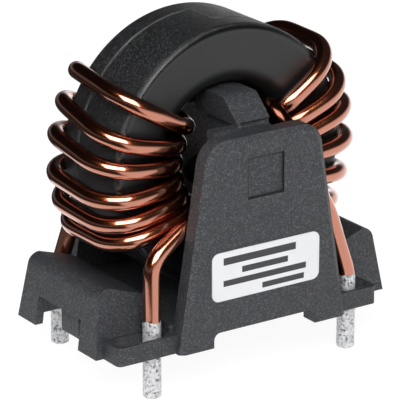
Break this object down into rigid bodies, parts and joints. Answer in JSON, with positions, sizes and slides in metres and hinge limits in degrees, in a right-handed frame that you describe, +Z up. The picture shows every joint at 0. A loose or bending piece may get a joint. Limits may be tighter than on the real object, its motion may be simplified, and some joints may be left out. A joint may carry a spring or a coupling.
{
  "type": "common mode choke",
  "caption": "Vertical common mode choke: a toroid core in a black case with two enamelled copper windings, in a black moulded holder with tinned pins.",
  "frame": {"origin": "centre of the four pins, on the plane that the holder's feet stand on", "axes": "+X along the front upright to the right, +Y along the toroid's axis from the labelled front to the rear, +Z up from the circuit board"},
  "size_m": [0.0444, 0.0285, 0.0447],
  "materials": {
    "holder_plastic": "black moulded plastic with a fine satin grain",
    "case_plastic": "black moulded plastic, grained outside and smooth on its faces",
    "enamelled_copper": "glossy dark enamel over copper, with dull tinned ends",
    "ferrite": "dark sintered ferrite",
    "label_film": "white film with plain grey bars"
  },
  "bodies": {
    "root": {"holder": "holder_plastic", "case_front": "case_plastic", "case_rear": "case_plastic", "winding_left": "enamelled_copper", "winding_right": "enamelled_copper", "core": "ferrite", "label": "label_film"}
  },
  "joints": []
}
